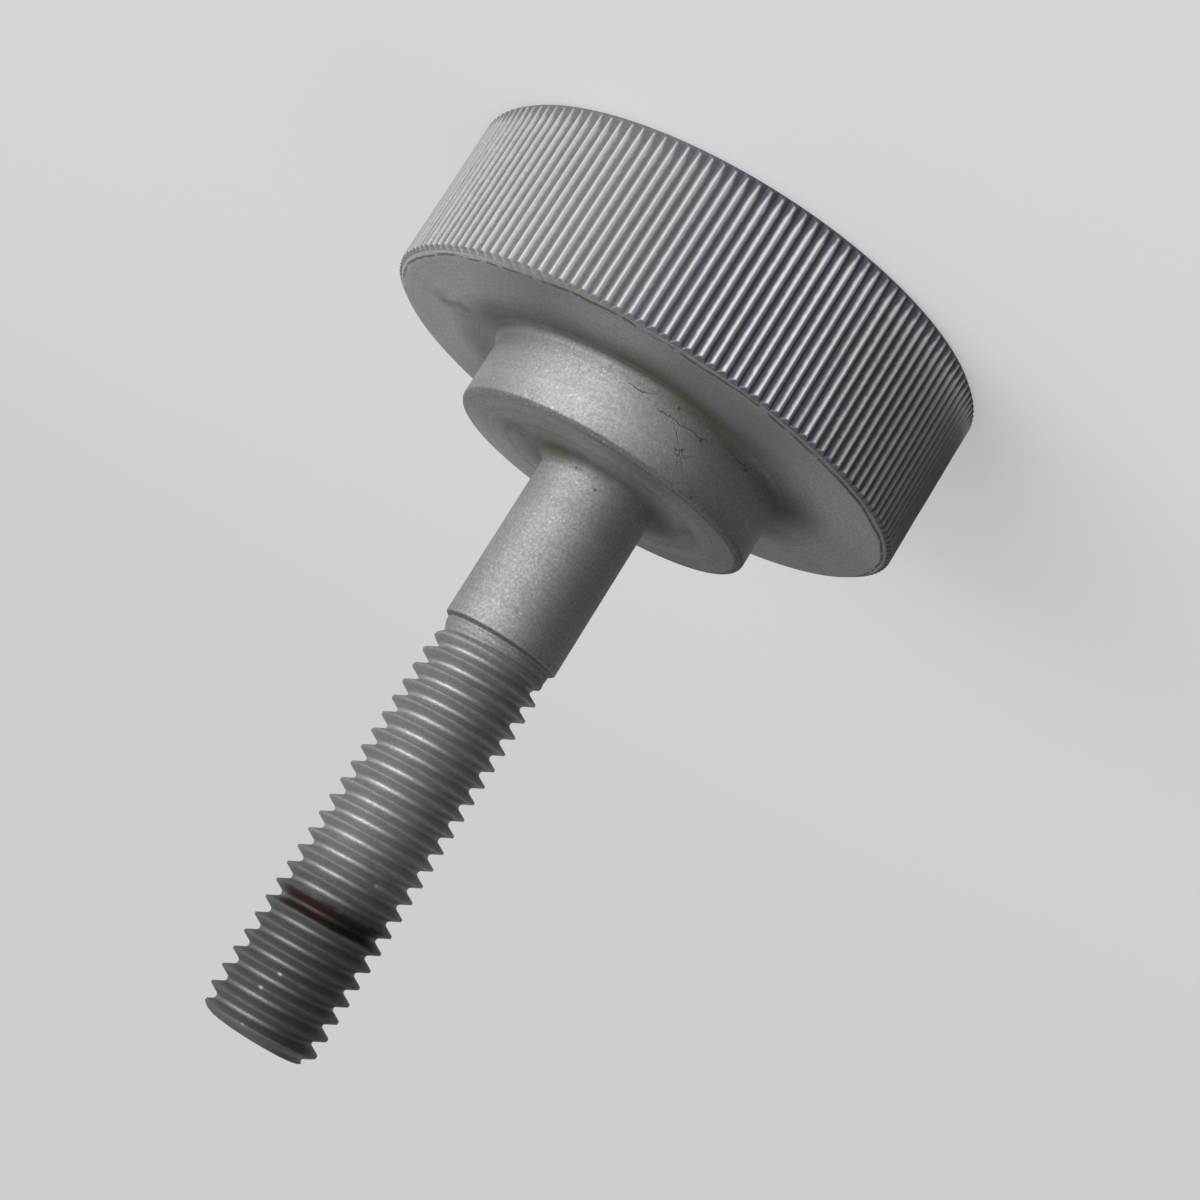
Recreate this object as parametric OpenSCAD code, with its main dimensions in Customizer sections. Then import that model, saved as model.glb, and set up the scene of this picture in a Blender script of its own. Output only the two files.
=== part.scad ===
// Thumb screw with a straight-knurled head, turned from one bar of steel.
// It stands on the head's flat outer face, with the thread pointing up along +Z.
// The origin is the centre of that face. All sizes are in millimetres.

/* [Head] */
// Diameter over the ridges of the knurl
head_d = 46; // [38:0.5:60]
// Thickness between the outer face and the underside
head_h = 13.9; // [8:0.1:24]
// How far the 45 degree chamfer of the outer face reaches in past the groove bottoms
outer_past = 0.03; // [0.01:0.01:0.6]
// How far the chamfer of the underside reaches in past the groove bottoms
under_past = 0.38; // [0.05:0.01:1]
// Height of the chamfer round the underside, measured along the knurl
under_edge_h = 0.55; // [0.3:0.05:1.4]

/* [Knurl] */
// Number of straight ridges round the head
ridge_count = 148; // [100:2:180]
// Depth of the V grooves between the ridges
ridge_depth = 0.42; // [0.2:0.01:0.55]
// Flat left on the crest of each ridge
ridge_crest_w = 0.1; // [0.06:0.01:0.2]
// Flat at the bottom of each groove
ridge_root_w = 0.06; // [0.04:0.01:0.15]

/* [Boss] */
// Diameter of the round boss under the head
boss_d = 26.2; // [20:0.1:32]
// Height of the boss above the head's underside
boss_h = 6; // [3:0.1:12]
// Rounding of the boss's outer edge
boss_edge_r = 1; // [0.3:0.05:1.5]
// Fillet between the boss and the head
boss_root_r = 0.6; // [0.2:0.05:1.2]

/* [Shank] */
// Diameter of the plain shank
shank_d = 10; // [8:0.1:14]
// Length of the plain shank above the boss
shank_l = 15; // [5:0.5:40]
// Fillet between the shank and the boss
shank_root_r = 0.8; // [0.2:0.05:1.5]
// Height of the sloping shoulder where the shank steps down to the neck
shoulder_h = 0.25; // [0.1:0.05:0.6]

/* [Neck] */
// Depth of the relief neck below the thinner of the shank and the thread
neck_depth = 0.35; // [0.1:0.05:1]
// Length of the relief neck, the shoulder included
neck_l = 1.3; // [0.8:0.1:4]

/* [Thread] */
// Outside diameter of the thread, modelled as a plain cylinder
thread_d = 9.9; // [7.8:0.1:13.5]
// Length of the thread from the neck to the tip
thread_l = 34.1; // [12:0.1:80]
// Length of the tapered start of the thread next to the neck
lead_l = 1.5; // [0.4:0.1:3]
// Rounding of the thread's tip
tip_r = 1.5; // [0.4:0.1:2]

/* [Hidden] */
$fn = 96;

head_r = head_d / 2;
boss_r = boss_d / 2;
shank_r = shank_d / 2;
thread_r = thread_d / 2;
neck_r = min(shank_r, thread_r) - neck_depth;

// The chamfers take in the whole depth of the ridges, so that every ridge ends in a point
outer_edge = ridge_depth + outer_past;
under_edge_w = ridge_depth + under_past;

// Heights of the steps above the outer face
boss_top = head_h + boss_h;
shank_top = boss_top + shank_l;
neck_top = shank_top + neck_l;
tip_z = neck_top + thread_l;

// The blank is left this much proud, so that only the knurl sets the head's outside
proud = 0.5;
under_slope = under_edge_h / under_edge_w;
// How far the knurling cut runs past both faces of the head
cut_over = 1;

// Angles taken by one ridge, its crest flat and the groove's flat
ridge_step = 360 / ridge_count;
crest_half = asin(ridge_crest_w / 2 / head_r);
root_r = head_r - ridge_depth;
root_half = asin(ridge_root_w / 2 / root_r);

function on_circle(r, angle) = [r * cos(angle), r * sin(angle)];

// A square corner filled in with a concave fillet, for the foot of a step in the profile
module fillet(r) {
    difference() {
        square(r);
        translate([r, r]) circle(r);
    }
}

// A block of the profile from the axis outwards, with its upper outer corner rounded
module rounded_step(radius, height, edge_r) {
    square([radius - edge_r, height]);
    square([radius, height - edge_r]);
    translate([radius - edge_r, height - edge_r]) intersection() {
        circle(edge_r);
        square(edge_r);
    }
}

// Half section of the head's blank, with its chamfers carried on to the proud diameter
module head_section() {
    polygon([
        [0, 0],
        [head_r - outer_edge, 0],
        [head_r + proud, outer_edge + proud],
        [head_r + proud, head_h - (under_edge_w + proud) * under_slope],
        [head_r - under_edge_w, head_h],
        [0, head_h]
    ]);
}

// Half section of the boss and the fillet that joins it to the head
module boss_section() {
    rounded_step(boss_r, boss_top, boss_edge_r);
    translate([boss_r, head_h]) fillet(boss_root_r);
}

// Half section of the shank, its fillet, the shoulder and the relief neck
module shank_section() {
    square([shank_r, shank_top]);
    translate([shank_r, boss_top]) fillet(shank_root_r);
    polygon([
        [0, shank_top],
        [shank_r, shank_top],
        [neck_r, shank_top + shoulder_h],
        [neck_r, neck_top],
        [0, neck_top]
    ]);
}

// Half section of the thread's envelope, from the tapered start to the rounded tip
module thread_section() {
    polygon([
        [0, neck_top],
        [neck_r, neck_top],
        [thread_r, neck_top + lead_l],
        [0, neck_top + lead_l]
    ]);
    translate([0, neck_top + lead_l]) rounded_step(thread_r, thread_l - lead_l, tip_r);
}

// The whole screw as it leaves the lathe, before the head is knurled
module turned_blank() {
    rotate_extrude() {
        head_section();
        boss_section();
        shank_section();
        thread_section();
    }
}

// Outline of the knurled head: a crest flat, two flanks and a groove flat for each ridge
module knurl_outline() {
    polygon([
        for (i = [0 : ridge_count - 1])
            each [
                on_circle(head_r, i * ridge_step - crest_half),
                on_circle(head_r, i * ridge_step + crest_half),
                on_circle(root_r, (i + 0.5) * ridge_step - root_half),
                on_circle(root_r, (i + 0.5) * ridge_step + root_half)
            ]
    ]);
}

// Everything that knurling takes off the blank, as a ring round the ridges
module knurling_cut() {
    translate([0, 0, -cut_over]) linear_extrude(head_h + 2 * cut_over) difference() {
        circle(head_r + 2 * proud);
        knurl_outline();
    }
}

module thumb_screw() {
    color([0.62, 0.63, 0.65]) difference() {
        turned_blank();
        knurling_cut();
    }
}

thumb_screw();
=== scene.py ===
"""Looks of the knurled thumb screw: its turned, knurled and threaded steel body and a pale studio stage.

Run as a script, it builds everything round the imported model, in metres and in the model's own frame.
"""

import functools
import math

import bmesh
import bpy
from mathutils import Matrix, Vector, noise


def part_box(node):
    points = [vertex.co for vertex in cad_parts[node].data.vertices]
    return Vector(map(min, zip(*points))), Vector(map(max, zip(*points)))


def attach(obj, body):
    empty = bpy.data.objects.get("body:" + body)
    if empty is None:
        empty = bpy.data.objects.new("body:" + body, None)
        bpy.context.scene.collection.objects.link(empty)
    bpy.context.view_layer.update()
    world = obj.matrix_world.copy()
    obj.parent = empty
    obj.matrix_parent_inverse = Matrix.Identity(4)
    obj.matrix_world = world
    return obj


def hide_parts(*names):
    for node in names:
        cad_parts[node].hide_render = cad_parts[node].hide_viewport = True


bl_info = {
    "name": "Knurled Thumb Screw",
    "version": (1, 0, 0),
    "blender": (4, 5, 0),
    "location": "3D View > Sidebar > Thumb Screw",
    "description": "Builds a thumb screw with a straight-knurled head and a coarse thread",
    "category": "Add Mesh",
}

MM = 0.001
NODE = "thumb_screw"

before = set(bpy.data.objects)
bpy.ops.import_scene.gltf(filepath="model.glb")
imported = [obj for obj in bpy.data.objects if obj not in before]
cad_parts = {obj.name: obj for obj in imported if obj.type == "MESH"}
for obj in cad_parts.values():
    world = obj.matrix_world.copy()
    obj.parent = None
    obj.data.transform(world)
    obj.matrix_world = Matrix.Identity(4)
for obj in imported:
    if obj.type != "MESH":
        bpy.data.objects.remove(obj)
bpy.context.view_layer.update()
low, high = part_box(NODE)


# Settings


def length(name, description, millimetres):
    """A length property whose default is given in millimetres."""
    return bpy.props.FloatProperty(
        name=name, description=description, default=millimetres * MM, unit="LENGTH"
    )


def angle(name, description, degrees):
    """An angle property whose default is given in degrees."""
    return bpy.props.FloatProperty(
        name=name, description=description, default=math.radians(degrees), subtype="ANGLE"
    )


def factor(name, description, default):
    return bpy.props.FloatProperty(name=name, description=description, default=default, min=0, max=1)


def colour(name, description, default):
    return bpy.props.FloatVectorProperty(
        name=name, description=description, default=default, size=3, min=0, max=1, subtype="COLOR"
    )


def count(name, description, default):
    """A whole number of ridges or steps, with the three that a ring needs as the least."""
    return bpy.props.IntProperty(name=name, description=description, default=default, min=3)


def power(name, description, watts):
    return bpy.props.FloatProperty(name=name, description=description, default=watts, unit="POWER")


class HeadSize(bpy.types.PropertyGroup):
    """The wide knurled head."""

    diameter: length("Diameter", "Diameter over the ridges", (high.x - low.x) / MM)
    height: length("Height", "Thickness from the outer face to the underside", 13.9)
    outer_edge: length("Outer edge", "Size of the 45 degree chamfer round the outer face", 0.45)
    under_edge_w: length("Underside edge width", "Width of the chamfer across the underside", 0.8)
    under_edge_h: length("Underside edge height", "Height of the same chamfer along the knurl", 0.55)
    ridge_count: count("Ridges", "Number of straight ridges round the head", 148)
    ridge_depth: length("Ridge depth", "Depth of the V grooves between the ridges", 0.42)
    crest_r: length("Crest rounding", "Radius of each ridge's crest", 0.13)
    groove_r: length("Groove rounding", "Radius of each groove's bottom", 0.05)
    wear: length("Crest wear", "How far the unevenness of the crests reaches in", 0.03)


class ShankSize(bpy.types.PropertyGroup):
    """The turned steps between the head and the thread."""

    boss_diameter: length("Boss diameter", "Diameter of the round boss under the head", 26.2)
    boss_height: length("Boss height", "Height of the boss above the underside", 6)
    boss_edge_r: length("Boss edge", "Rounding of the boss's outer edge", 0.55)
    boss_root_r: length("Boss fillet", "Fillet between the boss and the head", 0.6)
    diameter: length("Diameter", "Diameter of the plain shank", 10)
    run: length("Length", "Length of the plain shank above the boss", 15)
    root_r: length("Fillet", "Fillet between the shank and the boss", 0.8)
    shoulder_h: length("Shoulder", "Height of the slope where the shank steps down to the neck", 0.25)
    neck_diameter: length("Neck diameter", "Diameter of the relief neck", 9.2)
    neck_run: length("Neck length", "Length of the neck up to the first rise of the thread", 1.3)


class ThreadSize(bpy.types.PropertyGroup):
    """The right-hand thread."""

    diameter: length("Diameter", "Outside diameter over the crests", 9.9)
    pitch: length("Pitch", "Distance from crest to crest", 1.5)
    depth: length("Depth", "Depth of the thread from crest to root", 0.93)
    crest_w: length("Crest width", "Width of the narrow flat on the crests", 0.19)
    crest_groove: length("Crest groove", "Depth of the fine fold along the middle of the crest", 0.04)
    root_r: length("Root rounding", "Radius of the thread's root", 0.3)
    first_crest: length("First crest", "Height of a crest above the outer face on the +X side", 38.375)
    lead: length("Lead-in", "Length over which the crests rise out of the neck", 1.5)
    run_out: length("Run-out", "Length over which the root rises to the neck", 1.4)
    tip_r: length("Tip rounding", "Rounding of the thread's tip", 1.5)
    wear: length("Crest wear", "How far the nicks in the crest reach in", 0.045)
    steps: count("Steps round", "Number of steps round the thread and the turned steps", 148)


class SteelFinish(bpy.types.PropertyGroup):
    """Colours and roughness of the blasted steel."""

    steel: colour("Steel", "Colour of the clean blasted steel", (0.432, 0.436, 0.452))
    worn: colour("Worn steel", "Colour of the ridge crests, rubbed bright by hands", (0.585, 0.585, 0.606))
    # Dark colour of the knurl's grooves: soiling with painted shade
    groove_dirt_and_shade: colour("Groove shade", "Colour of the grime in the knurl's grooves", (0.05, 0.046, 0.07))
    # Colour of the soiling, which in the corners also stands for painted shade
    dirt_and_shade: colour("Dirt", "Colour of the grime in the corners", (0.088, 0.076, 0.046))
    stain: colour("Stain", "Colour of the fine cracks and dark specks", (0.05, 0.045, 0.04))
    oiled: colour("Oiled steel", "Colour of the darkened end of the thread", (0.12, 0.13, 0.131))
    tarnish: colour("Tarnish", "Second colour of the darkened end, in patches", (0.135, 0.12, 0.125))
    rust: colour("Rust", "Colour of the rust ring in the thread", (0.05, 0.028, 0.025))
    scale: colour("Scale", "Colour of the blackened end of the rust ring", (0.026, 0.025, 0.019))
    # Colour of the painted glints and of the nicks' painted highlights
    glint_and_nick: colour("Bare steel", "Colour of the bright nicks", (0.75, 0.75, 0.76))
    roughness: factor("Roughness", "Roughness of the blasted surface", 0.57)
    metallic: factor("Metallic", "How much of the surface is bare metal", 0.9)


class StageLook(bpy.types.PropertyGroup):
    """Camera, lamp, floor and surroundings."""

    distance: length("Camera distance", "Distance of the camera from the screw's axis", 158.985)
    height: length("Camera height", "Height of the camera above the floor", 56.264)
    turn: angle("Camera turn", "How far the camera stands round the axis from the -Y side", 0.606)
    pan: angle("Camera pan", "How far the camera looks to the left of the axis", 1.745)
    tilt: angle("Camera tilt", "How far the camera looks down", 10.1945)
    roll: angle("Camera roll", "How far the camera is turned about its line of sight", -148.1376)
    lens: bpy.props.FloatProperty(
        name="Lens", description="Focal length on a 36 mm sensor", default=61.04, subtype="DISTANCE_CAMERA"
    )
    backdrop: colour("Backdrop", "Colour of the far floor and of the walls round it", (0.62, 0.615, 0.61))
    floor: colour("Floor", "Colour of the floor's paint", (0.8, 0.795, 0.79))
    floor_lift: colour("Floor lift", "Pale colour mixed into the near floor", (0.9, 0.895, 0.89))
    dim: colour("Ceiling", "Colour of the ceiling behind the screw", (0.3, 0.3, 0.305))
    floor_r: length("Floor radius", "Radius of the floor", 3000)
    key_power: power("Key power", "Power of the large soft key lamp", 15.3)


class ThumbScrewSettings(bpy.types.PropertyGroup):
    """Everything that a user would change."""

    head: bpy.props.PointerProperty(type=HeadSize, name="Head", description="Sizes of the head")
    shank: bpy.props.PointerProperty(type=ShankSize, name="Shank", description="Sizes of the turned steps")
    thread: bpy.props.PointerProperty(type=ThreadSize, name="Thread", description="Sizes of the thread")
    finish: bpy.props.PointerProperty(type=SteelFinish, name="Finish", description="Look of the steel")
    stage: bpy.props.PointerProperty(type=StageLook, name="Stage", description="Camera, lamp and floor")


# Places

# Azimuths are measured from +X. This is the azimuth of the bright side of the studio.
LIT = math.radians(-40)

# In the tables below, lengths are in millimetres and angles in degrees.

# Nicks on the thread's crests, with painted highlights, as azimuth and height
NICKS = ((-75.1, 69.5), (-71.6, 66.58), (-79.7, 65.04), (-111.2, 55.91))

# Smears of dirt, as radius, azimuth, height and reach
SMEARS = (
    (17.4, -3, 13.9, 3.4),
    (15.2, -31, 13.9, 3),
    (7.8, -14, 19.9, 2.6),
    (7.2, -155, 19.9, 2.4),
    (4.7, -48.9, 62.7, 0.9),
    (4.7, -47.7, 64.2, 0.8),
    (4.7, -146, 60.8, 1.6),
)

# Dark specks, as radius, azimuth and height
SPECKS = (
    (13.1, -98, 14.6),
    (13.1, -110, 15.6),
    (13.1, -131, 15.0),
    (13.1, -147, 15.6),
    (13.1, -118, 19.5),
    (18.35, -1, 13.9),
    (5, -62, 20.6),
    (5, -88, 21.4),
)

# Cracks round the boss's side, as height, the azimuths of their two ends, and half the angle over
# which an end fades
CRACKS = ((14.93, -87, -79, 1.5), (15.5, -112, -92, 2), (14.8, -134, -117, 4))

# The crack that climbs the boss's side, as the azimuth and height of a place on it, the heights of
# its two ends, and half the length over which an end fades
CLIMBING_CRACK = (-100, 16, 15.8, 18.3, 0.3)

# The finest cracks, as the azimuth and height of their middle, and their reach
FINE_CRACKS = (-106, 17.5, 1.7)

# Azimuths between which the painted shade at the boss's foot is lighter, on the lit side, where soiling is
# caked in both corners, and where a dirty film lies on the underside
LIT_FOOT = (-95, -20)
CAKED_GRIME = (-76, -8)
FILM = (-98, -48)

# Heights between which the thread grows dark
DARKENING = (53.5, 60.5)

# The rust ring, as the turns of the groove that it fills, counted from the first crest, the azimuths
# of its two ends, and the azimuths between which it turns from black scale to rust
RUST_TURNS = (13.92, 14.95)
RUST_ENDS = (-150, -28)
RUST_AGEING = (-112, -72)


def on_part(radius, azimuth, height):
    """A place on the part, from a radius and height in metres and an azimuth in degrees."""
    turn = math.radians(azimuth)
    return Vector((radius * math.cos(turn), radius * math.sin(turn), height))


def towards(azimuth, x, y):
    """How far a place lies out towards an azimuth in radians."""
    return x * math.cos(azimuth) + y * math.sin(azimuth)


# Geometry

AXIS = Vector((0, 0, 1))
CENTRE = Vector((0, 0, 0))

# Vertices nearer than this are merged
WELD = 0.001 * MM

# How much the inner edge of a chamfer is softened, and the edges of the shoulder
CHAMFER_SOFT = 0.06 * MM
SHOULDER_SOFT = 0.05 * MM

# Levels along the knurl between which the wear of its crests varies
KNURL_LEVELS = 14

# Where the turned profile starts, in from the chamfer, and the ring round the foot of the boss
FACE_START = 0.4 * MM
FACE_RING = 4 * MM

# Steps of a fillet and of the boss's rounded edge, and levels up the plain shank
FILLET_STEPS = 6
ROUNDING_STEPS = 8
SHANK_LEVELS = 6

# How far the thread's root curves round to meet the flank, in degrees, and in how many steps
ROOT_CURVE = 60
ROOT_STEPS = 3

# How far the edges of a crest are below its flat, and the part of its width that is flat
CREST_DROP = 0.03 * MM
CREST_FLAT = 0.6

# How often the wear comes and goes, per metre
KNURL_WEAR = 900
THREAD_WEAR = 1100
FINE_THREAD_WEAR = 3100

# The finer wear's share in the thread's, how strong the two are together, and how many times the
# depth of the crest groove they reach down a crest
FINE_SHARE = 0.5
WEAR_STRENGTH = 1.6
WEAR_REACH = 1.5

# Size of a bright nick in the thread's crest
NICK_DEPTH = 0.09 * MM
NICK_REACH = 0.6 * MM

# How far the thread's tube reaches below the end of its groove, and turns that it has to spare
TUBE_OVERLAP = 0.1 * MM
SPARE_TURNS = 2

# Faces that meet at more than this stay crisp
CRISP = math.radians(32)


def radius_of(point):
    return math.hypot(point.x, point.y)


def held(value, lowest, highest):
    return max(lowest, min(value, highest))


def put(vert, radius, height):
    """Moves a vertex to a radius and a height without turning it round the axis."""
    scale = radius / radius_of(vert.co)
    vert.co = Vector((vert.co.x * scale, vert.co.y * scale, height))


def arc(radius_at, height_at, radius, start, end, steps):
    """Points of an arc in the half plane of a turned profile, as (radius, height).

    Angles are in degrees.
    """
    turns = [math.radians(start + (end - start) * i / steps) for i in range(steps + 1)]
    return [(radius_at + radius * math.cos(t), height_at + radius * math.sin(t)) for t in turns]


def polyline(bm, points):
    """Joins points with edges and returns the vertices and edges."""
    verts = [bm.verts.new(point) for point in points]
    return verts + [bm.edges.new(pair) for pair in zip(verts, verts[1:])]


def spun(bm, geom, angle, steps, **options):
    """Spins vertices and edges round the axis, where they stand."""
    bmesh.ops.spin(bm, geom=geom, cent=CENTRE, axis=AXIS, angle=angle, steps=steps, **options)


def turned(bm, profile, steps):
    """Turns a profile of (radius, height) points round the axis."""
    line = polyline(bm, [(radius, 0, height) for radius, height in profile])
    spun(bm, line, math.tau, steps, use_merge=True, use_duplicate=False)


def on_circle(edge, radius, height):
    return all(
        abs(radius_of(vert.co) - radius) < WELD and abs(vert.co.z - height) < WELD for vert in edge.verts
    )


def rim(bm, radius, height):
    """The open edges that lie on a circle."""
    return [edge for edge in bm.edges if edge.is_boundary and on_circle(edge, radius, height)]


def verts_of(edges):
    return list({vert: None for edge in edges for vert in edge.verts})


def extruded(bm, edges):
    """Extrudes a ring of edges where it stands and returns the new ring."""
    made = bmesh.ops.extrude_edge_only(bm, edges=edges)["geom"]
    return [item for item in made if isinstance(item, bmesh.types.BMEdge) and item.is_boundary]


def stepped(bm, ring, radius, height):
    """Extrudes a ring of edges to a circle and returns the new ring."""
    ring = extruded(bm, ring)
    for vert in verts_of(ring):
        put(vert, radius, height)
    return ring


def joined(bm, ring_a, ring_b):
    """Joins two open rings with faces."""
    bmesh.ops.bridge_loops(bm, edges=ring_a + ring_b)


def cut_level(bm, height, above):
    """Cuts everything off level at a height, above it or else below it."""
    bmesh.ops.bisect_plane(
        bm,
        geom=[*bm.verts, *bm.edges, *bm.faces],
        dist=WELD / 10,
        plane_co=AXIS * height,
        plane_no=AXIS,
        clear_inner=not above,
        clear_outer=above,
    )


def ridge_outline(head):
    """One ridge in plan, from one groove's bottom to the next one's, as (angle, radius)."""
    crest_level = head.diameter / 2
    root_level = crest_level - head.ridge_depth
    half = math.pi * crest_level / head.ridge_count
    lean = math.atan2(head.ridge_depth, half - head.crest_r / 2 - head.groove_r / 2)
    groove = [
        (half - head.groove_r * math.sin(turn), root_level + head.groove_r * (1 - math.cos(turn)))
        for turn in (0, lean)
    ]
    crest = [
        (head.crest_r * math.sin(turn), crest_level - head.crest_r * (1 - math.cos(turn)))
        for turn in (-lean, -lean / 2, 0, lean / 2, lean)
    ]
    left = [(-across, level) for across, level in groove]
    return [(across / crest_level, level) for across, level in left + crest + groove[::-1]]


def knurl_ring(bm, head):
    """The ridges in plan, all round the head, as one ring of edges."""
    plan = [(level * math.cos(turn), level * math.sin(turn), 0) for turn, level in ridge_outline(head)]
    step = math.tau / head.ridge_count
    spun(bm, polyline(bm, plan), math.tau - step, head.ridge_count - 1, use_duplicate=True)
    bmesh.ops.remove_doubles(bm, verts=bm.verts, dist=WELD)
    return list(bm.edges)


def knurled_head(bm, head):
    """The head's ridged wall, its chamfers with their pointed ridge ends, and its outer face.

    It starts in an empty bmesh and returns the ring that the underside joins.
    """
    foot = knurl_ring(bm, head)
    outer_r = head.diameter / 2 - head.outer_edge
    under_r = head.diameter / 2 - head.under_edge_w
    under_slope = head.under_edge_h / head.under_edge_w
    top = head.height - head.under_edge_h

    ring = foot
    for level in range(KNURL_LEVELS):
        ring = extruded(bm, ring)
        height = head.outer_edge + (top - head.outer_edge) * (level + 0.5) / KNURL_LEVELS
        for vert in verts_of(ring):
            proud = (radius_of(vert.co) - head.diameter / 2 + head.ridge_depth) / head.ridge_depth
            place = Vector((vert.co.x, vert.co.y, height))
            bite = max(0, noise.noise(place * KNURL_WEAR)) * head.wear * proud
            put(vert, radius_of(vert.co) - bite, height)
    ring = extruded(bm, ring)
    for vert in verts_of(ring):
        put(vert, radius_of(vert.co), head.height - (radius_of(vert.co) - under_r) * under_slope)
    for vert in verts_of(foot):
        vert.co.z = radius_of(vert.co) - outer_r

    ring = stepped(bm, ring, under_r + CHAMFER_SOFT, head.height - CHAMFER_SOFT * under_slope)
    under_ring = stepped(bm, ring, under_r - CHAMFER_SOFT, head.height)
    ring = stepped(bm, foot, outer_r + CHAMFER_SOFT / 2, CHAMFER_SOFT / 2)
    outer_ring = stepped(bm, ring, outer_r - CHAMFER_SOFT, 0)
    bmesh.ops.holes_fill(bm, edges=outer_ring, sides=0)
    return under_ring


def turned_profile(head, shank):
    """The underside, boss, shank, shoulder and neck, as (radius, height)."""
    boss_r = shank.boss_diameter / 2
    boss_top = head.height + shank.boss_height
    edge_r, root_r = shank.boss_edge_r, shank.boss_root_r
    shank_r = shank.diameter / 2
    shank_top = boss_top + shank.run
    neck_r = shank.neck_diameter / 2
    shoulder_top = shank_top + shank.shoulder_h
    return [
        (head.diameter / 2 - head.under_edge_w - FACE_START, head.height),
        (boss_r + FACE_RING, head.height),
        *arc(boss_r + root_r, head.height + root_r, root_r, 270, 180, FILLET_STEPS),
        (boss_r, head.height + shank.boss_height / 2),
        *arc(boss_r - edge_r, boss_top - edge_r, edge_r, 0, 90, ROUNDING_STEPS),
        ((boss_r + shank_r) / 2, boss_top),
        *arc(shank_r + shank.root_r, boss_top + shank.root_r, shank.root_r, 270, 180, FILLET_STEPS),
        *[
            (shank_r, boss_top + shank.root_r + (shank.run - shank.root_r) * i / SHANK_LEVELS)
            for i in range(1, SHANK_LEVELS)
        ],
        (shank_r, shank_top - SHOULDER_SOFT),
        (shank_r - SHOULDER_SOFT, shank_top),
        (neck_r + SHOULDER_SOFT, shoulder_top - SHOULDER_SOFT / 2),
        (neck_r, shoulder_top + SHOULDER_SOFT),
        (neck_r, shoulder_top + 2 * SHOULDER_SOFT),
    ]


def one_pitch(thread):
    """One pitch of the thread's profile, from root to root, as (height from the crest, radius)."""
    outer_r = thread.diameter / 2
    root_centre = outer_r - thread.depth + thread.root_r
    half = thread.crest_w / 2
    root = [
        (thread.pitch / 2 - thread.root_r * math.sin(turn), root_centre - thread.root_r * math.cos(turn))
        for turn in (math.radians(ROOT_CURVE * i / ROOT_STEPS) for i in range(ROOT_STEPS + 1))
    ]
    crest = [(half, outer_r - CREST_DROP), (half * CREST_FLAT, outer_r)]
    flank = [tuple((a + b) / 2 for a, b in zip(root[-1], crest[0]))]
    side = root + flank + crest
    mirrored = [(-rise, radius) for rise, radius in side]
    return mirrored + [(0, outer_r - thread.crest_groove)] + side[:0:-1]


def neck_top(settings):
    """Height at which the crests start to rise out of the neck."""
    head, shank = settings.head, settings.shank
    return head.height + shank.boss_height + shank.run + shank.neck_run


def groove_end(settings):
    """Height at which the groove has run out."""
    return neck_top(settings) - settings.shank.neck_run / 2


def crest_limit(settings, height):
    """The radius that the crests may reach at a height: a rise out of the neck and a rounded tip."""
    thread, shank = settings.thread, settings.shank
    outer_r, neck_r = thread.diameter / 2, shank.neck_diameter / 2
    rise = held((height - neck_top(settings)) / thread.lead, 0, 1)
    limit = neck_r + (outer_r - neck_r) * rise
    into_tip = height - (high.z - thread.tip_r)
    if into_tip > 0:
        limit = outer_r - thread.tip_r + math.sqrt(max(0, thread.tip_r**2 - into_tip**2))
    return limit


def root_limit(settings, height):
    """The radius that the root can't go below at a height, so that the groove runs out into the neck."""
    thread, shank = settings.thread, settings.shank
    root_r, neck_r = thread.diameter / 2 - thread.depth, shank.neck_diameter / 2
    drop = held((height - groove_end(settings)) / thread.run_out, 0, 1)
    return neck_r + (root_r - neck_r) * drop


def crest_bite(place, thread):
    """How far a nicked crest is worn in at a place."""
    rough = noise.noise(place * THREAD_WEAR) + FINE_SHARE * noise.noise(place * FINE_THREAD_WEAR)
    bite = thread.wear * held(rough * WEAR_STRENGTH, 0, 1)
    for azimuth, height in NICKS:
        gap = (place - on_part(thread.diameter / 2, azimuth, height * MM)).length
        bite += NICK_DEPTH * max(0, 1 - gap / NICK_REACH)
    return bite


def screw_thread(bm, settings, bottom):
    """The helical surface from a height in the neck up to the tip, as one tube with its end closed."""
    thread = settings.thread
    pitch, outer_r = thread.pitch, thread.diameter / 2
    below = math.ceil((thread.first_crest - bottom) / pitch) + SPARE_TURNS
    above = math.ceil((high.z - thread.first_crest) / pitch) + SPARE_TURNS
    profile = [
        (radius, 0, thread.first_crest + turn * pitch + rise)
        for turn in range(-below, above)
        for rise, radius in one_pitch(thread)
    ]
    climb = AXIS * (pitch / thread.steps)
    spun(bm, polyline(bm, profile), math.tau, thread.steps, dvec=climb, use_duplicate=False)
    bmesh.ops.remove_doubles(bm, verts=bm.verts, dist=WELD)
    cut_level(bm, bottom, above=False)
    cut_level(bm, high.z, above=True)
    for vert in bm.verts:
        radius = radius_of(vert.co)
        if radius > outer_r - thread.crest_groove * WEAR_REACH:
            radius -= crest_bite(vert.co, thread)
        height = vert.co.z
        put(vert, min(max(radius, root_limit(settings, height)), crest_limit(settings, height)), height)
    bmesh.ops.holes_fill(bm, edges=rim(bm, crest_limit(settings, high.z), high.z), sides=0)


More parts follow.
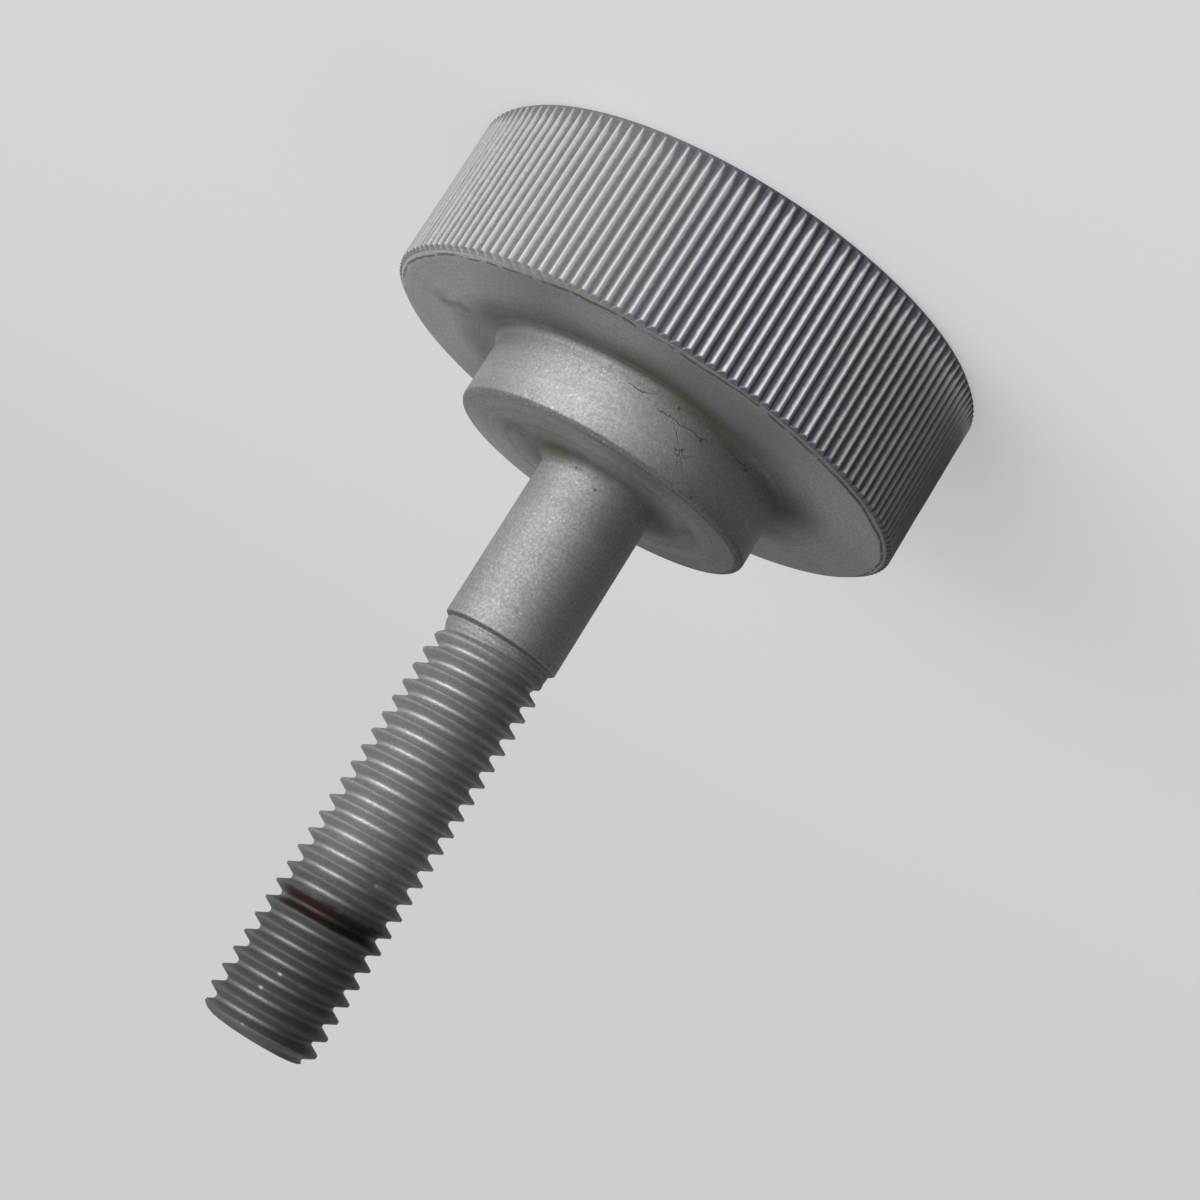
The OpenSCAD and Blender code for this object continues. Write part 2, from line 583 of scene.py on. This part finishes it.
def body_mesh(mesh, settings):
    """The whole screw as one closed surface."""
    head, shank, thread = settings.head, settings.shank, settings.thread
    bottom = groove_end(settings) - TUBE_OVERLAP
    bm = bmesh.new()
    screw_thread(bm, settings, bottom)
    bm.to_mesh(mesh)
    bm.clear()
    under_ring = knurled_head(bm, head)
    profile = turned_profile(head, shank)
    turned(bm, profile, thread.steps)
    joined(bm, under_ring, rim(bm, *profile[0]))
    bm.from_mesh(mesh)
    joined(bm, rim(bm, *profile[-1]), rim(bm, shank.neck_diameter / 2, bottom))
    bmesh.ops.recalc_face_normals(bm, faces=bm.faces)
    if not all(edge.is_manifold for edge in bm.edges):
        raise RuntimeError("The screw's surface isn't closed, because its sizes don't go together")
    for face in bm.faces:
        face.smooth = True
    bm.to_mesh(mesh)
    bm.free()
    mesh.set_sharp_from_angle(angle=CRISP)


# Materials


class Value:
    """A number or a colour that varies over the surface. Arithmetic on it adds Math nodes."""

    def __init__(self, shader, socket):
        self.shader = shader
        self.socket = socket

    def __add__(self, other):
        return self.shader.math("ADD", self, other)

    __radd__ = __add__

    def __sub__(self, other):
        return self.shader.math("SUBTRACT", self, other)

    def __rsub__(self, other):
        return self.shader.math("SUBTRACT", other, self)

    def __mul__(self, other):
        return self.shader.math("MULTIPLY", self, other)

    __rmul__ = __mul__

    def __truediv__(self, other):
        return self.shader.math("DIVIDE", self, other)

    def __rtruediv__(self, other):
        return self.shader.math("DIVIDE", other, self)

    def __abs__(self):
        return self.shader.math("ABSOLUTE", self)


class Shader:
    """A node tree, emptied, with the methods that add its nodes."""

    def __init__(self, tree):
        self.tree = tree
        tree.nodes.clear()

    def node(self, kind, settings=None, sockets=None, output=0):
        """Adds a node and returns the value of the output wanted.

        It takes the node's type, its settings, and the values or links of its sockets.
        """
        made = self.tree.nodes.new(kind)
        for name, setting in (settings or {}).items():
            setattr(made, name, setting)
        for name, value in (sockets or {}).items():
            if isinstance(value, Value):
                self.tree.links.new(value.socket, made.inputs[name])
            else:
                made.inputs[name].default_value = value
        return Value(self, made.outputs[output]) if made.outputs else made

    def math(self, operation, *values):
        return self.node("ShaderNodeMath", {"operation": operation}, dict(enumerate(values)))

    def greatest(self, *values):
        """The greatest of two or more values."""
        return functools.reduce(lambda first, second: self.math("MAXIMUM", first, second), values)

    def smooth(self, value, start, end):
        """0 before start and 1 after end, with a smooth rise between."""
        return self.node(
            "ShaderNodeMapRange",
            {"interpolation_type": "SMOOTHSTEP"},
            {"Value": value, "From Min": start, "From Max": end},
        )

    def ramp(self, value, start, end):
        """0 before start and 1 after end, with a straight rise between."""
        return self.node("ShaderNodeMapRange", sockets={"Value": value, "From Min": start, "From Max": end})

    def band(self, value, start, end, soft):
        """1 between start and end and 0 outside, with soft edges of this half width."""
        rise = self.smooth(value, start - soft, start + soft)
        return rise * (1 - self.smooth(value, end - soft, end + soft))

    def noise(self, place, size, detail=2, roughness=0.5):
        """Soft noise from 0 to 1 whose features have this size in metres."""
        return self.node(
            "ShaderNodeTexNoise",
            {"noise_dimensions": "3D"},
            {"Vector": place, "Scale": 1 / size, "Detail": detail, "Roughness": roughness},
        )

    def parts(self, place):
        """The x, y and z of a place."""
        return [
            self.node("ShaderNodeSeparateXYZ", sockets={"Vector": place}, output=axis)
            for axis in ("X", "Y", "Z")
        ]

    def opaque(self, tint):
        """A colour as a socket takes it, with an alpha of 1 unless it is a link."""
        return tint if isinstance(tint, Value) else (*tint[:], 1)

    def mix(self, amount, first, second, blend="MIX"):
        """A colour that goes from the first to the second."""
        return self.node(
            "ShaderNodeMix",
            {"data_type": "RGBA", "blend_type": blend},
            {0: amount, 6: self.opaque(first), 7: self.opaque(second)},
            output=2,
        )

    def shade(self, amount, tint, by):
        """A colour made lighter or darker by a number, where amount is 1."""
        return self.mix(amount, tint, (by, by, by), "MULTIPLY")

    def seen(self):
        """1 for a ray from the camera, and for one that comes by way of metal or glass."""
        rays = ("Is Camera Ray", "Is Glossy Ray", "Is Transmission Ray")
        return self.greatest(*(self.node("ShaderNodeLightPath", output=ray) for ray in rays))


class Surface(Shader):
    """A material's nodes, with the values that say where on the piece a point is."""

    def __init__(self, name):
        self.material = bpy.data.materials.new(name)
        self.material.use_nodes = True
        super().__init__(self.material.node_tree)
        self.place = self.node("ShaderNodeTexCoord", output="Object")
        self.x, self.y, self.height = self.parts(self.place)
        self.radius = self.math("SQRT", self.x * self.x + self.y * self.y)

    def spot(self, place, reach, core=0.4):
        """1 at a place, out to the core's part of the reach, and 0 beyond the reach."""
        gap = self.node(
            "ShaderNodeVectorMath", {"operation": "DISTANCE"}, {0: self.place, 1: place}, output="Value"
        )
        return 1 - self.smooth(gap, reach * core, reach)

    def foot(self, radius, height, reach):
        """1 at the foot of a step and 0 beyond a reach over the flat round it.

        It climbs the step a little.
        """
        out = 1 - self.smooth(self.radius, radius, radius + reach)
        climb = self.smooth(self.height, height + 0.2 * MM, height + 1.3 * MM)
        return out * (1 - climb) * self.smooth(self.height, height - 0.3 * MM, height - 0.1 * MM)

    def closed(self, shader):
        """Links a shader to the material's output, and returns the material."""
        self.node("ShaderNodeOutputMaterial", sockets={"Surface": shader})
        return self.material

    def painted(self, look):
        """Gives the material a Principled shader with this look, and returns the material."""
        return self.closed(self.node("ShaderNodeBsdfPrincipled", sockets=look))


class BlastedSteel(Surface):
    """Bead-blasted steel with soiling and painted shade in its corners, and a dark, rusted end on the
    thread.

    Several surfaces also carry painted light and shade.
    """

    def __init__(self, settings):
        super().__init__("blasted_steel")
        self.colours = settings.finish
        self.head, self.shank, self.thread = settings.head, settings.shank, settings.thread
        self.head_r = self.head.diameter / 2
        self.boss_r = self.shank.boss_diameter / 2
        self.shank_r = self.shank.diameter / 2
        self.boss_top = self.head.height + self.shank.boss_height
        self.shank_top = self.boss_top + self.shank.run
        self.neck_top = neck_top(settings)

        # Azimuth of a point, in turns and in degrees
        self.turn = self.math("ARCTAN2", self.y, self.x) / math.tau
        self.azimuth = self.turn * 360

        # Unevenness, from the broadest to the finest
        self.broad = self.noise(self.place, 9 * MM, 0)
        self.cloud = self.noise(self.place, 6 * MM, 2)
        self.patch = self.noise(self.place, 1.5 * MM, 3)
        self.mottle = self.noise(self.place, 0.5 * MM, 1)
        self.grain = self.noise(self.place, 0.22 * MM, 2)
        self.spark = self.noise(self.place, 0.17 * MM, 0)

        # Marks of the lathe, which are the same all round
        section = self.node("ShaderNodeCombineXYZ", sockets={"X": self.radius, "Y": self.height})
        self.rings = self.noise(section, 1.2 * MM, 1)
        self.lathe = self.noise(section, 0.35 * MM, 2)

        # Where each surface is
        self.threaded = self.smooth(self.height, self.neck_top, self.neck_top + self.thread.lead)
        neck_start = self.shank_top + self.shank.shoulder_h
        self.necked = self.band(self.height, neck_start, self.neck_top + 0.3 * MM, 0.1 * MM)
        self.plain = self.band(self.height, self.boss_top + 0.6 * MM, self.shank_top, 0.1 * MM)
        edge = self.smooth(self.radius, self.boss_r - 0.8 * MM, self.boss_r - 0.4 * MM)
        edge_start = self.boss_top - self.shank.boss_edge_r
        self.boss_edge = edge * self.smooth(self.height, edge_start, self.boss_top - 0.3 * MM)
        groove_r = self.head_r - self.head.ridge_depth
        self.knurled = self.smooth(self.radius, groove_r - 0.05 * MM, groove_r - 0.01 * MM)
        self.crest = self.knurl_crest()
        self.groove = self.knurled * (1 - self.crest)

    def knurl_crest(self):
        """1 on the ridges' crests and 0 in the grooves.

        The chamfers cut the ridges down, so depth is counted from their slopes there.
        """
        head = self.head
        under_top = head.height - head.under_edge_h
        slope = self.ramp(self.height, under_top, head.height) * head.under_edge_w
        slope = slope + (1 - self.ramp(self.height, 0, head.outer_edge)) * head.outer_edge
        level = self.radius + slope
        outer_end = self.smooth(self.height, head.outer_edge, head.outer_edge + 1.4 * MM)
        level = level + (self.mottle - 0.5) * 0.12 * MM - (1 - outer_end) * 0.16 * MM
        crest = self.smooth(level, self.head_r - 0.31 * MM, self.head_r - 0.08 * MM)
        crest = crest * self.smooth(self.height, head.outer_edge - 0.1 * MM, head.outer_edge + 0.1 * MM)
        return crest * (1 - self.smooth(self.height, under_top - 0.02 * MM, under_top + 0.1 * MM) * 0.75)

    def clean(self):
        """Clean steel, with the blasting's fine grain, soft clouds and faint marks of the lathe."""
        tint = self.shade(self.cloud, self.colours.steel, 0.8)
        tint = self.shade(self.smooth(self.grain, 0.35, 0.65), tint, 0.84)
        tint = self.shade(self.smooth(self.mottle, 0.35, 0.65), tint, 0.93)
        return self.shade(self.smooth(self.lathe, 0.4, 0.62), tint, 0.93)

    def underside(self, tint):
        """The head's underside: painted light near its rim towards +X, and filmed where it meets the knurl.
        """
        top = self.head.height
        face = self.band(self.height, top - 0.4 * MM, top + 0.1 * MM, 0.04 * MM)
        # Painted light near the rim towards +X
        pale = face * self.smooth(self.radius, 15 * MM, 18 * MM) * self.smooth(self.x, 10 * MM, 18 * MM)
        tint = self.shade(pale, tint, 1.6)
        filmed = face * self.band(self.azimuth, *FILM, 14) * 0.25
        filmed = filmed * (1 - self.smooth(self.radius, 17.5 * MM, 20 * MM))
        return self.mix(filmed, tint, self.colours.dirt_and_shade)

    def boss_side(self, tint):
        """The boss's side: painted light all round, lighter than the rest, and painted shade towards both
        of its ends.
        """
        foot, top = self.head.height, self.boss_top
        side = self.smooth(self.radius, self.boss_r - 0.4 * MM, self.boss_r - 0.1 * MM)
        side = side * self.smooth(self.height, foot + 0.1 * MM, foot + 0.5 * MM)
        # Painted light on the whole side
        tint = self.shade(side, tint, 1.1)
        # Painted shade towards the foot and towards the rounded top edge
        foot_shade = 1 - self.smooth(self.height, foot + 0.5 * MM, foot + 3.4 * MM)
        tint = self.shade(side * foot_shade, tint, 0.76)
        top_shade = self.smooth(self.height, top - 1.7 * MM, top - 0.7 * MM)
        return self.shade(side * top_shade, tint, 0.84)

    def boss_face(self, tint):
        """The boss's face: painted shade on the -X half, lighter towards +Y, with turned rings.

        Painted light on the rim of the +X half, and painted shade on its rounded edge.
        """
        top = self.boss_top
        face = self.band(self.height, top - 0.05 * MM, top + 0.3 * MM, 0.03 * MM)
        # Painted shade on the -X half
        shaded_half = face * (1 - self.smooth(self.x, -9 * MM, 5 * MM))
        tint = self.shade(shaded_half, tint, 0.74)
        tint = self.shade(face * self.smooth(self.y, -1 * MM, 6 * MM), tint, 1.26)
        tint = self.shade(face * self.smooth(self.rings, 0.5, 0.6), tint, 0.84)
        # Painted light on the rim of the +X half
        rubbed = face * self.smooth(self.radius, 9.5 * MM, 12 * MM) * self.smooth(self.x, 0, 8 * MM)
        tint = self.shade(rubbed, tint, 1.35)
        # Painted shade on the rounded edge
        return self.shade(self.boss_edge, tint, 0.68)

    def knurl(self, tint):
        """Rubbed crests over grooves darkened by soiling and painted shade, which is lighter on the lit
        side.

        Painted shade also darkens the knurl towards +X and on its -X side.
        """
        lit = self.smooth(towards(LIT, self.x, self.y) / self.radius, 0.6, 1)
        tint = self.mix(self.knurled * self.crest, tint, self.colours.worn)
        # Painted shade with soiling in the grooves, less of it on the lit side
        tint = self.mix(self.groove * (0.9 - lit * 0.46), tint, self.colours.groove_dirt_and_shade)
        # Painted shade over the knurl towards +X, and on its -X side
        tint = self.shade(self.knurled * self.smooth(self.x, 11 * MM, 22 * MM), tint, 0.68)
        far_shade = 1 - self.smooth(self.x, -22 * MM, -18 * MM)
        return self.shade(self.knurled * far_shade, tint, 0.7)

    def shank_and_neck(self, tint):
        """A duller shank, a duller neck with painted shade, and a dark line on the shoulder between them.
        """
        tint = self.shade(self.plain, tint, 0.95)
        shoulder = self.shank_top + self.shank.shoulder_h / 2
        line = self.band(self.height, shoulder - 0.1 * MM, shoulder + 0.12 * MM, 0.05 * MM)
        tint = self.shade(line, tint, 0.45)
        # Painted shade on the neck
        return self.shade(self.necked, tint, 0.8)

    def thread_end(self, tint):
        """The end of the thread, which is darker past the rust ring."""
        wandering = self.height + (self.patch - 0.5) * 3 * MM
        start, end = DARKENING
        darkened = self.smooth(wandering, start * MM, end * MM) * 0.75
        tarnished = self.smooth(self.cloud + self.patch * 0.3, 0.5, 0.8)
        return self.mix(darkened, tint, self.mix(tarnished, self.colours.oiled, self.colours.tarnish))

    def grime_and_shade(self):
        """Grime and painted shade in the two corners and on the flat faces beside them.

        Grime also lies in a line near the knurl.
        """
        # The corners carry painted shade as well as soiling; at the boss's foot it is lighter on the lit
        # side
        facing = self.band(self.azimuth, *LIT_FOOT, 15)
        inner = 1 - self.smooth(self.radius, self.boss_r + 0.7 * MM, self.boss_r + 1.5 * MM)
        boss_foot = self.foot(self.boss_r + 0.4 * MM, self.head.height, 5 * MM)
        shank_foot = self.foot(self.shank_r + 0.4 * MM, self.boss_top, 3.6 * MM)
        grime_and_shade = self.greatest(
            boss_foot * (1 - inner * facing * 0.5) * 0.9, shank_foot * (0.66 + facing * 0.2)
        )
        caked = self.band(self.azimuth, *CAKED_GRIME, 12) * (0.62 + self.patch * 0.4)
        grime_and_shade = grime_and_shade * self.greatest(self.smooth(self.broad + self.patch * 0.15, 0.2, 0.75), caked)
        blotched = self.smooth(self.patch + self.cloud * 0.4, 0.3, 1.1)
        for radius, azimuth, height, reach in SMEARS:
            smear = self.spot(on_part(radius * MM, azimuth, height * MM), reach * MM, 0.1)
            grime_and_shade = self.greatest(grime_and_shade, smear * blotched * 0.75)
        return self.greatest(grime_and_shade, self.rim_line() * 0.8)

    def rim_line(self):
        """1 along a broken line that wanders round the underside, near the knurl."""
        wander = self.radius + (self.cloud - 0.5) * 0.7 * MM + (self.mottle - 0.5) * 0.1 * MM
        line = self.band(wander, self.head_r - 0.8 * MM, self.head_r - 0.62 * MM, 0.05 * MM)
        line = line * self.smooth(self.patch, 0.35, 0.5)
        return line * self.smooth(self.height, self.head.height - 0.5 * MM, self.head.height - 0.3 * MM)

    def cracks(self):
        """Thin cracks round the boss's side and up it, with finer ones about them, and specks."""
        azimuth, height, reach = FINE_CRACKS
        veins = abs(self.noise(self.place, 2 * MM, 2, 0.6) - 0.5)
        marks = 1 - self.smooth(veins, 0.003, 0.014)
        marks = marks * self.spot(on_part(self.boss_r, azimuth, height * MM), reach * MM)

        # Each line is given by how far a point is from its middle, and by a mask that ends it
        lines = [
            (self.height - height * MM, self.band(self.azimuth, start, end, fade))
            for height, start, end, fade in CRACKS
        ]
        azimuth, height, start, end, fade = CLIMBING_CRACK
        across = (self.azimuth - azimuth) * self.boss_r * math.radians(1) + self.height - height * MM
        lines.append((across, self.band(self.height, start * MM, end * MM, fade * MM)))
        wiggle = (self.patch - 0.5) * 0.9 * MM + (self.mottle - 0.5) * 0.3 * MM
        for across, mask in lines:
            crack = 1 - self.smooth(abs(across + wiggle), 0.02 * MM, 0.07 * MM)
            marks = self.greatest(marks, crack * mask)
        marks = marks * self.band(self.radius, self.boss_r - 0.5 * MM, self.boss_r + 0.2 * MM, 0.1 * MM)

        for radius, azimuth, height in SPECKS:
            speck = self.spot(on_part(radius * MM, azimuth, height * MM), 0.19 * MM)
            marks = self.greatest(marks, speck)
        return marks

    def rust_ring(self):
        """1 along the rust ring, which follows one groove part of the way round.

        The groove's place is counted in turns from the first crest.
        """
        helix = (self.height - self.thread.first_crest) / self.thread.pitch - self.turn
        ring = self.band(helix + (self.patch - 0.5) * 0.3, *RUST_TURNS, 0.12)
        return ring * self.band(self.azimuth, *RUST_ENDS, 16)

    def glints_and_nicks(self, grime_and_shade):
        """Painted glints of the blasted grains where they are clean, and the nicks with painted highlights.
        """
        bright = self.smooth(self.spark, 0.7, 0.8) * (1 - self.threaded * 0.8) * (1 - grime_and_shade) * 0.32
        bright = bright * (1 - self.groove)
        for azimuth, height in NICKS:
            nick = self.spot(on_part(self.thread.diameter / 2, azimuth, height * MM), 0.28 * MM)
            bright = self.greatest(bright, nick * 0.7)
        return bright

    def relief(self, cracks):
        """The fine bumps: the grain, the lathe's marks, the neck's turned rings and the cracks."""
        feed = 0.34 * MM
        turning = self.math("SINE", self.height * (math.tau / feed)) * self.necked
        bumps = self.grain + self.mottle * 0.8 + self.lathe * 0.5 + turning * 0.5 - cracks
        return self.node(
            "ShaderNodeBump", sockets={"Strength": 0.45, "Distance": 0.03 * MM, "Height": bumps}
        )


def blasted_steel(settings):
    """The screw's material: clean steel, what was done to each surface, and then its soiling and wear.

    Some surfaces carry painted light and shade, the corners painted shade, and the grains painted glints.
    """
    steel = BlastedSteel(settings)
    colours = settings.finish
    tint = steel.clean()
    tint = steel.underside(tint)
    tint = steel.boss_side(tint)
    tint = steel.boss_face(tint)
    tint = steel.knurl(tint)
    tint = steel.shank_and_neck(tint)
    tint = steel.thread_end(tint)

    grime_and_shade, cracks, rust = steel.grime_and_shade(), steel.cracks(), steel.rust_ring()
    bright = steel.glints_and_nicks(grime_and_shade)
    # Soiling, with painted shade in the corners
    tint = steel.mix(grime_and_shade, tint, colours.dirt_and_shade)
    tint = steel.mix(cracks * 0.6, tint, colours.stain)
    aged = steel.smooth(steel.azimuth, *RUST_AGEING)
    tint = steel.mix(rust * 0.94, tint, steel.mix(aged, colours.scale, colours.rust))
    # Painted glints and the nicks' painted highlights
    tint = steel.mix(bright, tint, colours.glint_and_nick)

    rough = colours.roughness + (steel.grain - 0.5) * 0.2 + grime_and_shade * 0.25 + steel.boss_edge * 0.3
    rough = rough + (steel.necked + steel.plain * 0.6) * 0.12 - bright * 0.15
    metal = colours.metallic - grime_and_shade * 0.2 - rust * 0.1 - steel.groove * 0.4
    bump = steel.relief(cracks)
    return steel.painted({"Base Color": tint, "Roughness": rough, "Metallic": metal, "Normal": bump})


# Stage

# Width of the camera's sensor, in millimetres, and the range that it sees, in metres
SENSOR = 36
NEAREST_SEEN, FARTHEST_SEEN = 5 * MM, 20

# How steeply a line of sight rises where the walls start to give way to the ceiling and where they
# end, as the height of a line one metre long. Then how the ceiling goes from dim to pale towards
# the lit side, and how much more of it is dim overhead.
WALL_START, WALL_END = 0.25, 0.5
DIM_END, PALE_START = -0.9, 0.7
OVERHEAD = 0.6

# The key lamp: how high it stands in degrees, and its distance and size in metres
KEY_RISE = 13
KEY_DISTANCE = 1.2
KEY_WIDTH, KEY_HEIGHT = 1.26, 0.6

# How much of the lift is mixed into the near floor, the radii between which the floor fades into
# the backdrop, in metres, and the sides of its outline
LIFT = 0.4
FADE_START, FADE_END = 0.2, 0.7
FLOOR_SIDES = 96

# The card: its gap to the head, its reach over the floor, and the heights of its foot and its top
CARD_GAP, CARD_REACH = 3 * MM, 60 * MM
CARD_FOOT, CARD_TOP = 0.5 * MM, 160 * MM

# The azimuths of the card's middle and of its darkest part, and the angle that it spans, in degrees
CARD_MIDDLE, CARD_DARKEST = 155, 208
CARD_SPAN = 190
CARD_STEPS = 24

# Greys of the card's dark part, at its foot and higher up, and of its pale part and that one's end
CARD_FOOT_GREY, CARD_DARK_GREY = 0.015, 0.12
CARD_PALE_GREY, CARD_END_GREY = 0.35, 0.3


def grey(level):
    """A neutral colour."""
    return (level, level, level)


def set_camera(scene, stage):
    """The camera, which stands before the screw and is rolled, so that the screw seems to lie down."""
    camera = bpy.data.objects.new("camera", bpy.data.cameras.new("camera"))
    scene.collection.objects.link(camera)
    camera.data.sensor_width = SENSOR
    camera.data.lens = stage.lens
    camera.data.clip_start = NEAREST_SEEN
    camera.data.clip_end = FARTHEST_SEEN
    stand = Matrix.Rotation(stage.turn, 4, "Z") @ Matrix.Translation((0, -stage.distance, stage.height))
    aim = Matrix.Rotation(stage.pan, 4, "Z") @ Matrix.Rotation(math.pi / 2 - stage.tilt, 4, "X")
    camera.matrix_world = stand @ aim @ Matrix.Rotation(stage.roll, 4, "Z")
    scene.camera = camera


def key_lamp(scene, stage):
    """A wide soft lamp on the lit side that looks at the middle of the screw."""
    data = bpy.data.lights.new("key_lamp", "AREA")
    data.shape = "RECTANGLE"
    data.size = KEY_WIDTH
    data.size_y = KEY_HEIGHT
    data.energy = stage.key_power
    lamp = bpy.data.objects.new("key_lamp", data)
    scene.collection.objects.link(lamp)
    rise = math.radians(KEY_RISE)
    away = Vector((math.cos(LIT) * math.cos(rise), math.sin(LIT) * math.cos(rise), math.sin(rise)))
    lamp.location = AXIS * high.z / 2 + away * KEY_DISTANCE
    lamp.rotation_euler = away.to_track_quat("Z", "Y").to_euler()
    lamp.visible_camera = False


def set_world(scene, stage):
    """A studio with pale walls all round, and a ceiling that is dimmer behind the screw."""
    world = bpy.data.worlds.new("studio")
    scene.world = world
    world.use_nodes = True
    shader = Shader(world.node_tree)
    x, y, z = shader.parts(shader.node("ShaderNodeTexCoord", output="Generated"))
    front = shader.smooth(towards(LIT, x, y) - z * OVERHEAD, DIM_END, PALE_START)
    wall = 1 - shader.smooth(z, WALL_START, WALL_END)
    tint = shader.mix(shader.greatest(front, wall), stage.dim, stage.backdrop)
    background = shader.node("ShaderNodeBackground", sockets={"Color": tint, "Strength": 1})
    shader.node("ShaderNodeOutputWorld", sockets={"Surface": background})


def stage_piece(scene, name, bm, material):
    """Makes a piece of the stage from a bmesh, which it frees, and returns the piece."""
    mesh = bpy.data.meshes.new(name)
    bm.to_mesh(mesh)
    bm.free()
    mesh.materials.append(material)
    piece = bpy.data.objects.new(name, mesh)
    scene.collection.objects.link(piece)
    return piece


def floor_paint(stage):
    """Paint that takes the colour of the walls far out, so that no horizon shows."""
    surface = Surface("floor_paint")
    paint = surface.node("ShaderNodeBsdfDiffuse", sockets={"Color": (*stage.floor, 1), "Roughness": 0})
    lifted = surface.node("ShaderNodeEmission", sockets={"Color": (*stage.floor_lift, 1), "Strength": 1})
    far = surface.node("ShaderNodeEmission", sockets={"Color": (*stage.backdrop, 1), "Strength": 1})
    near = surface.node("ShaderNodeMixShader", sockets={0: surface.seen() * LIFT, 1: paint, 2: lifted})
    fade = surface.smooth(surface.radius, FADE_START, FADE_END)
    return surface.closed(surface.node("ShaderNodeMixShader", sockets={0: fade, 1: near, 2: far}))


def floor_piece(scene, stage):
    """A round floor that reaches far past everything that the camera sees of it."""
    bm = bmesh.new()
    bmesh.ops.create_circle(bm, cap_ends=True, segments=FLOOR_SIDES, radius=stage.floor_r)
    stage_piece(scene, "floor", bm, floor_paint(stage))


def card_paint():
    """Grey paint, with a dark part that is darkest at its foot."""
    paint = Surface("card_paint")
    facing = towards(math.radians(CARD_DARKEST), paint.x, paint.y) / paint.radius
    above = paint.smooth(paint.height, 1 * MM, 12 * MM)
    dark = paint.mix(above, grey(CARD_FOOT_GREY), grey(CARD_DARK_GREY))
    end = paint.smooth(paint.y / paint.radius, 0.75, 0.95)
    pale = paint.mix(end, grey(CARD_PALE_GREY), grey(CARD_END_GREY))
    tint = paint.mix(paint.smooth(facing, 0.2, 0.8), pale, dark)
    return paint.painted({"Base Color": tint, "Roughness": 0.9})


def dark_card(scene):
    """A dark curved card that only reflections see, which gives the steel its shaded side."""
    inner_r, outer_r = high.x + CARD_GAP, high.x + CARD_REACH
    middle, span = math.radians(CARD_MIDDLE), math.radians(CARD_SPAN)
    bm = bmesh.new()
    line = polyline(bm, [(inner_r, 0, CARD_FOOT), (outer_r, 0, CARD_FOOT), (outer_r, 0, CARD_TOP)])
    start = Matrix.Rotation(middle - span / 2, 3, "Z")
    bmesh.ops.rotate(bm, cent=CENTRE, matrix=start, verts=list(bm.verts))
    spun(bm, line, span, CARD_STEPS)
    card = stage_piece(scene, "dark_card", bm, card_paint())
    card.visible_camera = False
    card.visible_diffuse = False
    card.visible_shadow = False


class THUMBSCREW_OT_body(bpy.types.Operator):
    """Build the screw's body as one piece of blasted steel"""

    bl_idname = "thumbscrew.body"
    bl_label = "Build Thumb Screw"

    def execute(self, context):
        settings = context.scene.thumb_screw
        mesh = bpy.data.meshes.new("screw_body")
        piece = bpy.data.objects.new("screw_body", mesh)
        context.scene.collection.objects.link(piece)
        body_mesh(mesh, settings)
        mesh.materials.append(blasted_steel(settings))
        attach(piece, "root")
        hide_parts(NODE)
        return {"FINISHED"}


class THUMBSCREW_OT_stage(bpy.types.Operator):
    """Set up the camera, the key lamp, the floor and the pale surroundings"""

    bl_idname = "thumbscrew.stage"
    bl_label = "Set Up Stage"

    def execute(self, context):
        scene, stage = context.scene, context.scene.thumb_screw.stage
        set_camera(scene, stage)
        set_world(scene, stage)
        floor_piece(scene, stage)
        dark_card(scene)
        key_lamp(scene, stage)
        scene.view_settings.view_transform = "Standard"
        return {"FINISHED"}


class THUMBSCREW_PT_panel(bpy.types.Panel):
    """The thumb screw's operators and settings"""

    bl_label = "Thumb Screw"
    bl_idname = "THUMBSCREW_PT_panel"
    bl_space_type = "VIEW_3D"
    bl_region_type = "UI"
    bl_category = "Thumb Screw"

    def draw(self, context):
        layout = self.layout
        layout.operator(THUMBSCREW_OT_body.bl_idname)
        layout.operator(THUMBSCREW_OT_stage.bl_idname)
        settings = context.scene.thumb_screw
        for part in ("head", "shank", "thread", "finish", "stage"):
            group = getattr(settings, part)
            box = layout.box()
            box.label(text=part.title())
            for name in group.bl_rna.properties.keys():
                if name not in ("rna_type", "name"):
                    box.prop(group, name)


CLASSES = (
    HeadSize,
    ShankSize,
    ThreadSize,
    SteelFinish,
    StageLook,
    ThumbScrewSettings,
    THUMBSCREW_OT_body,
    THUMBSCREW_OT_stage,
    THUMBSCREW_PT_panel,
)


def register():
    for cls in CLASSES:
        bpy.utils.register_class(cls)
    bpy.types.Scene.thumb_screw = bpy.props.PointerProperty(
        type=ThumbScrewSettings, name="Thumb Screw", description="Settings of the thumb screw"
    )


def unregister():
    del bpy.types.Scene.thumb_screw
    for cls in reversed(CLASSES):
        bpy.utils.unregister_class(cls)


def main():
    register()
    bpy.ops.thumbscrew.body()
    bpy.ops.thumbscrew.stage()


if __name__ == "__main__":
    main()
